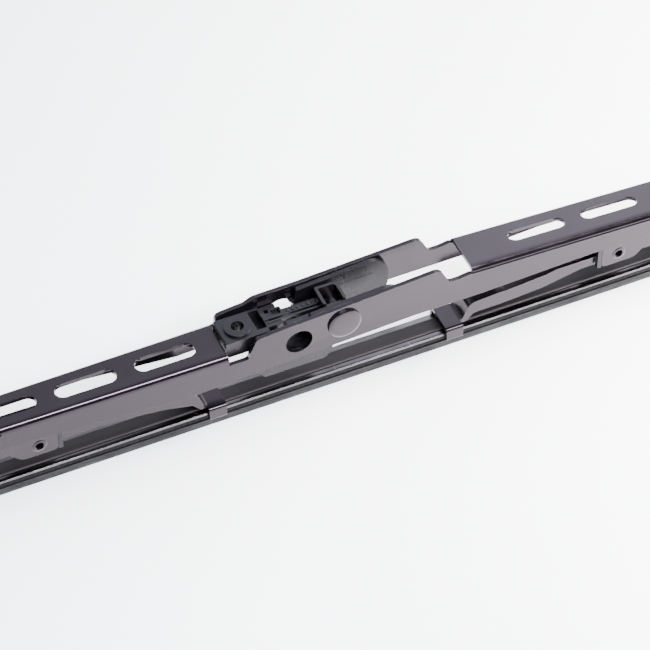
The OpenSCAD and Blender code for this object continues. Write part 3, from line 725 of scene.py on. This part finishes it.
# The hook adapter: nose, bracket, ribs, cheeks and the saddle over the rivet. Millimetres, but
# for the edge; a box is given by its two far corners, and a corner by x, y or z and its radius
adapter = {
    "edge": 0.20 * mm,
    "edgeAngle": 35,
    "half": 5.5,
    "wall": 1.3,
    "noseOutline": [(-31.75, 28.9, 0.8), (-19.2, 28.9, 0), (-19.2, 34.0, 0), (-31.75, 34.0, 0.3)],
    "noseHalf": 4.55,
    "collar": (3.65, (-26.64, 0), 33.0, 34.65),  # radius, centre, low and high
    "collarHole": (1.75, (-26.64, 0), 26.9, 38.0),
    "cheekStart": [(-20.5, 32.44, 0), (-22.8, 32.44, 0), (-24.1, 21.7, 1.3), (-21.5, 17.8, 1.95),
                   (-3.3, 17.8, 1.95), (-0.7, 23.7, 1.95), (19, 23.7, 5.4)],
    "frontTop": [(19, 37.1, 5.4), (-8.0, 35.5, 0.65), (-8.325, 32.44, 0.325)],
    "backTop": [(19, 38.0, 5.4), (-8.0, 35.9, 0.65), (-8.325, 32.44, 0.325)],
    "boxes": [
        ((-22.8, -5.5, 23.7), (-21.2, 5.5, 32.44)),  # cross wall under the nose
        ((-22.8, -5.5, 23.7), (-2, 5.5, 25.0)),  # web between the cheeks
        ((-20.5, -2.7, 31.6), (-2.0, 3.3, 32.1)),  # floor behind the pocket
        ((-20.5, -0.3, 23.7), (-2.0, 1.75, 33.7)),  # middle rib
        ((-20.5, -1.5, 23.7), (-2.0, -0.9, 33.6)),  # thin rib beside it
        ((-19.2, -2.7, 23.7), (-17.9, 4.5, 33.4)),  # bracket: its back
        ((-19.2, -2.7, 23.7), (-14.78, -1.4, 33.4)),  # its front leg
        ((-16.86, 1.1, 23.7), (-13.48, 2.9, 33.8)),  # its block
        ((-14.3, -5.2, 31.1), (-6.7, -3.1, 34.1)),  # shelf behind the front cheek
    ],
    "saddle": [(-3.3, -3.3, 0.3), (3.3, -3.3, 0.6), (3.3, 3.4, 1.8), (-3.3, 3.4, 0.5)],
    "saddleRange": (23.7, 35.9),
    "backPanel": ((4, 4.1, 24.7), (14.2, 4.4, 33.2)),
    "teeth": 7,
    "toothStart": -12.4,
    "toothPitch": 1.45,
    "toothSize": ((0.2, 33.4), (1.1, 33.9)),
    "pocket": ((-22.19, -2.9, 30.2), (-19.2, 3.8, 35.0)),
    "bracketHole": ((-16.47, 0.6, 32.8), (-13.87, 2.4, 33.8)),
    "saddleInside": [(-2.5, -2.5, 0.2), (2.5, -2.5, 0.2), (2.5, 2.6, 1.0), (-2.5, 2.6, 0.2)],
    "insideRange": (30.7, 37.9),
    "saddleGap": ((-2.5, -3.8, 34.6), (2.5, -2.3, 36.9)),
    "rivetHole": (2.55, (1, 30.7), -9, 9, "Y"),
    "pinHole": (4.0, (-12, 29), -9, 9, "Y"),
}


def addAdapter(values):
    half, wall = values["half"], values["wall"]
    nose = sidePlate(values["noseOutline"], -values["noseHalf"], values["noseHalf"])
    nose.name = "hookAdapter"
    bpy.context.scene.collection.objects.link(nose)
    (toothFront, toothLow), (toothBack, toothHigh) = values["toothSize"]
    starts = [values["toothStart"] + k * values["toothPitch"] for k in range(values["teeth"])]
    parts = [
        drum(*values["collar"]),
        sidePlate(values["cheekStart"] + values["frontTop"], -half, -half + wall),
        sidePlate(values["cheekStart"] + values["backTop"], half - wall, half),
        *(block(*box) for box in values["boxes"]),
        upright(values["saddle"], *values["saddleRange"]),
        block(*values["backPanel"]),
        *(block((x, toothFront, toothLow), (x + values["toothPitch"] / 2, toothBack, toothHigh))
          for x in starts),
    ]
    boolean(nose, parts, "UNION")
    cuts = [
        drum(*values["collarHole"]),
        block(*values["pocket"]),
        block(*values["bracketHole"]),
        upright(values["saddleInside"], *values["insideRange"]),
        block(*values["saddleGap"]),
        drum(*values["rivetHole"]),
        drum(*values["pinHole"]),
    ]
    boolean(nose, cuts, "DIFFERENCE")
    mergeClose(nose.data)
    shadeSmooth(nose.data)
    nose.data.materials.clear()
    nose.data.materials.append(blackPlastic)
    smoothBevel(nose, values["edge"], angle=values["edgeAngle"])
    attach(nose, "adapter")
    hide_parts("adapter")


addAdapter(adapter)
print("adapter made")


# Rivets: one node tree turns a profile into a rivet and sets it at every marked point
rivets = {
    "around": 48,
    "seed": 3,
    "sharp": 35,  # degrees from which an edge stays sharp
    # (radius, height) as shares of the head's radius and of the rivet's half length
    "solid": [(0, 1), (0.80, 1), (0.93, 0.992), (1, 0.965), (1, 0.885), (0.54, 0.885),
              (0.54, -0.885), (1, -0.885), (1, -0.965), (0.93, -0.992), (0.80, -1), (0, -1)],
    "hollow": [(0.52, 0.97), (0.60, 1), (0.86, 1), (1, 0.96), (1, 0.90), (0.70, 0.90),
               (0.70, -0.90), (1, -0.90), (1, -0.96), (0.86, -1), (0.60, -1), (0.52, -0.97),
               (0.52, 0.97)],
}


def turnedTree(name, profile, material):
    tree = bpy.data.node_groups.new(name, "GeometryNodeTree")
    tree.interface.new_socket("Points", in_out="INPUT", socket_type="NodeSocketGeometry")
    tree.interface.new_socket("Around", in_out="INPUT", socket_type="NodeSocketInt")
    tree.interface.new_socket("Seed", in_out="INPUT", socket_type="NodeSocketInt")
    tree.interface.new_socket("Rivets", in_out="OUTPUT", socket_type="NodeSocketGeometry")

    def add(kind, links=(), **settings):
        node = tree.nodes.new(kind)
        for key, value in settings.items():
            setattr(node, key, value)
        for socket, value in links:
            if hasattr(value, "is_linked"):
                tree.links.new(value, node.inputs[socket])
            else:
                node.inputs[socket].default_value = value
        return node

    source = add("NodeGroupInput")
    grid = add("GeometryNodeMeshGrid", [("Size X", 1.0), ("Size Y", 1.0),
                                        ("Vertices X", source.outputs["Around"]),
                                        ("Vertices Y", len(profile))])
    place = add("ShaderNodeSeparateXYZ", [(0, add("GeometryNodeInputPosition").outputs[0])])
    along = add("ShaderNodeMath", [(0, place.outputs["Y"]), (1, 0.5)], operation="ADD")
    angle = add("ShaderNodeMath", [(0, place.outputs["X"]), (1, 2 * math.pi)],
                operation="MULTIPLY")
    curves = []
    for column in (0, 1):
        curve = add("ShaderNodeFloatCurve", [("Value", along.outputs[0])])
        points = curve.mapping.curves[0].points
        while len(points) < len(profile):
            points.new(0.5, 0.5)
        for index, point in enumerate(points):
            point.location = (index / (len(profile) - 1), profile[index][column] * 0.5 + 0.5)
            point.handle_type = "VECTOR"
        curve.mapping.update()
        half = add("ShaderNodeMath", [(0, curve.outputs[0]), (1, 2.0), (2, -1.0)],
                   operation="MULTIPLY_ADD")
        curves.append(half.outputs[0])
    cosine = add("ShaderNodeMath", [(0, angle.outputs[0])], operation="COSINE")
    sine = add("ShaderNodeMath", [(0, angle.outputs[0])], operation="SINE")
    across = add("ShaderNodeMath", [(0, cosine.outputs[0]), (1, curves[0])],
                 operation="MULTIPLY")
    up = add("ShaderNodeMath", [(0, sine.outputs[0]), (1, curves[0])], operation="MULTIPLY")
    spot = add("ShaderNodeCombineXYZ", [(0, across.outputs[0]), (1, up.outputs[0]),
                                        (2, curves[1])])
    turned = add("GeometryNodeSetPosition", [("Geometry", grid.outputs[0]),
                                             ("Position", spot.outputs[0])])
    closed = add("GeometryNodeMergeByDistance", [("Geometry", turned.outputs[0]),
                                                 ("Distance", 0.001)])
    facing = add("GeometryNodeInputNamedAttribute", [("Name", "facing")],
                 data_type="FLOAT_VECTOR")
    size = add("GeometryNodeInputNamedAttribute", [("Name", "size")], data_type="FLOAT_VECTOR")
    turn = add("FunctionNodeAlignRotationToVector", [("Vector", facing.outputs[0])])
    spin = add("FunctionNodeRandomValue", [("Seed", source.outputs["Seed"])], data_type="FLOAT")
    spin.inputs[3].default_value = 2 * math.pi
    axis = add("FunctionNodeAxisAngleToRotation", [("Axis", (0, 0, 1)),
                                                   ("Angle", spin.outputs[1])])
    both = add("FunctionNodeRotateRotation", [(0, turn.outputs[0]), (1, axis.outputs[0])],
               rotation_space="LOCAL")
    placed = add("GeometryNodeInstanceOnPoints", [
        ("Points", source.outputs["Points"]), ("Instance", closed.outputs[0]),
        ("Rotation", both.outputs[0]), ("Scale", size.outputs[0])])
    real = add("GeometryNodeRealizeInstances", [(0, placed.outputs[0])])
    painted = add("GeometryNodeSetMaterial", [("Geometry", real.outputs[0])])
    painted.inputs["Material"].default_value = material
    add("NodeGroupOutput", [(0, painted.outputs[0])])
    return tree


def addRivets(name, kind, nodes):
    # one point per rivet, read from the CAD node's own box
    mesh = bpy.data.meshes.new(name)
    points, sizes = [], []
    for node in nodes:
        spots = [vertex.co for vertex in frame["nodes"][node].data.vertices]
        low = [min(spot[k] for spot in spots) for k in range(3)]
        high = [max(spot[k] for spot in spots) for k in range(3)]
        points.append([(a + b) / 2 for a, b in zip(low, high)])
        radius = (high[0] - low[0]) / 2
        sizes.append((radius, radius, (high[1] - low[1]) / 2))
    mesh.from_pydata(points, [], [])
    for label, values in (("facing", [(0, -1, 0)] * len(nodes)), ("size", sizes)):
        layer = mesh.attributes.new(label, "FLOAT_VECTOR", "POINT")
        for index, value in enumerate(values):
            layer.data[index].vector = value
    piece = addObject(name, mesh)
    tree = turnedTree(name + "Tree", rivets[kind], blackPaint)
    modifier = piece.modifiers.new("turned", "NODES")
    modifier.node_group = tree
    for item in tree.interface.items_tree:
        if item.name in ("Around", "Seed"):
            modifier[item.identifier] = rivets["around" if item.name == "Around" else "seed"]
    applyModifiers(piece)
    faceOutward(piece.data)
    shadeSmooth(piece.data)
    piece.data.set_sharp_from_angle(angle=math.radians(rivets["sharp"]))
    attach(piece, bodyOf(nodes[0]))
    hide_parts(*nodes)


addRivets("bridgeRivets", "solid", ["centre_rivet", "end_rivet_left", "end_rivet_right"])
for side in ("left", "right"):
    addRivets("leverRivets_" + side, "hollow",
              ["yoke_rivet_" + place for place in places if place.startswith(side)])
print("rivets set")


# The rubber and its two rails, laid in spans. A span that rides turns with one body, and one that
# blends is baked where it lies and turns with no body
squeegee = {
    "railHalf": 298,  # millimetres, like the sections
    "corner": 0.18,
    "railCorner": 0.8,  # share of that
    "edgeReach": 0.4,  # the largest share of an edge that a rounded corner takes
    "step": 6,
    "sharp": 40,
    "rubberHalf": [(0.45, 0), (1.65, 3.51), (2.1, 4.41), (0.8, 4.86), (0.8, 5.55), (2.7, 5.85),
                   (2.7, 8.7), (1.85, 8.7), (1.85, 9.6), (2.4, 9.6), (2.35, 9.8), (1.9, 10.05)],
    "rail": [(1.9, 8.75), (4.1, 8.75), (4.1, 9.55), (1.9, 9.55)],
}
spans = [
    (-302, -197.7, "ride", "yoke_left_outer", None),
    (-197.7, -167.35, "blend", "yoke_left_outer", "secondary_left"),
    (-167.35, -137, "blend", "secondary_left", "yoke_left_inner"),
    (-137, -32.4, "ride", "yoke_left_inner", None),
    (-32.4, -22, "blend", "yoke_left_inner", "secondary_left"),
    (-22, 0, "blend", "secondary_left", "bridge"),
]


def mirrored(body):
    return body.replace("left", "right")


spans += [(-end, -start, kind, mirrored(b or a), mirrored(a) if b else None)
          for start, end, kind, a, b in reversed(spans)]


def roundedOutline(points, radius, steps=3):
    outline = []
    count = len(points)
    for index, corner in enumerate(points):
        p = Vector(corner)
        before, after = Vector(points[index - 1]), Vector(points[(index + 1) % count])
        toBefore, toAfter = before - p, after - p
        share = squeegee["edgeReach"]
        reach = min(radius, toBefore.length * share, toAfter.length * share)
        a = p + toBefore.normalized() * reach
        b = p + toAfter.normalized() * reach
        for step in range(steps + 1):
            t = step / steps
            outline.append((1 - t) ** 2 * a + 2 * t * (1 - t) * p + t * t * b)
    return [(q.x, q.y) for q in outline]


def stripMesh(name, outlines, start, end, step):
    # closed outlines in Y and Z, in millimetres, swept along X
    count = max(1, round((end - start) / step))
    vertices, faces = [], []
    for outline in outlines:
        base, around = len(vertices), len(outline)
        for index in range(count + 1):
            x = (start + (end - start) * index / count) * mm
            vertices += [(x, y * mm, z * mm) for y, z in outline]
        for index in range(count):
            for k in range(around):
                a = base + index * around + k
                b = base + index * around + (k + 1) % around
                faces.append((a, b, b + around, a + around))
        faces.append(tuple(base + k for k in reversed(range(around))))
        faces.append(tuple(base + count * around + k for k in range(around)))
    mesh = bpy.data.meshes.new(name)
    mesh.from_pydata(vertices, [], faces)
    faceOutward(mesh)
    for face in mesh.polygons:
        face.use_smooth = len(face.vertices) == 4
    return mesh


def addStrip(name, outlines, start, end, material, nodes, span):
    mesh = stripMesh(name, outlines, start, end, squeegee["step"])
    mesh.materials.append(material)
    mesh.set_sharp_from_angle(angle=math.radians(squeegee["sharp"]))
    piece = addObject(name, mesh)
    spanStart, spanEnd, kind, a, b = span
    if kind == "ride":
        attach(piece, a)
    else:
        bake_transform(piece)
    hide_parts(*nodes)


def addSqueegee():
    corner, half = squeegee["corner"], squeegee["rubberHalf"]
    rubber = roundedOutline(half + [(-y, z) for y, z in reversed(half)], corner)
    rail = roundedOutline(squeegee["rail"], corner * squeegee["railCorner"])
    railBack = [(-y, z) for y, z in rail]
    limit = squeegee["railHalf"]
    for number, span in enumerate(spans):
        start, end = span[0], span[1]
        addStrip("rubberStrip_%02d" % number, [rubber], start, end, blackRubber,
                 ["wiping_rubber"], span)
        addStrip("rails_%02d" % number, [rail, railBack], max(start, -limit), min(end, limit),
                 railSteel, ["rail_front", "rail_back"], span)


addSqueegee()
print("rubber and rails laid")
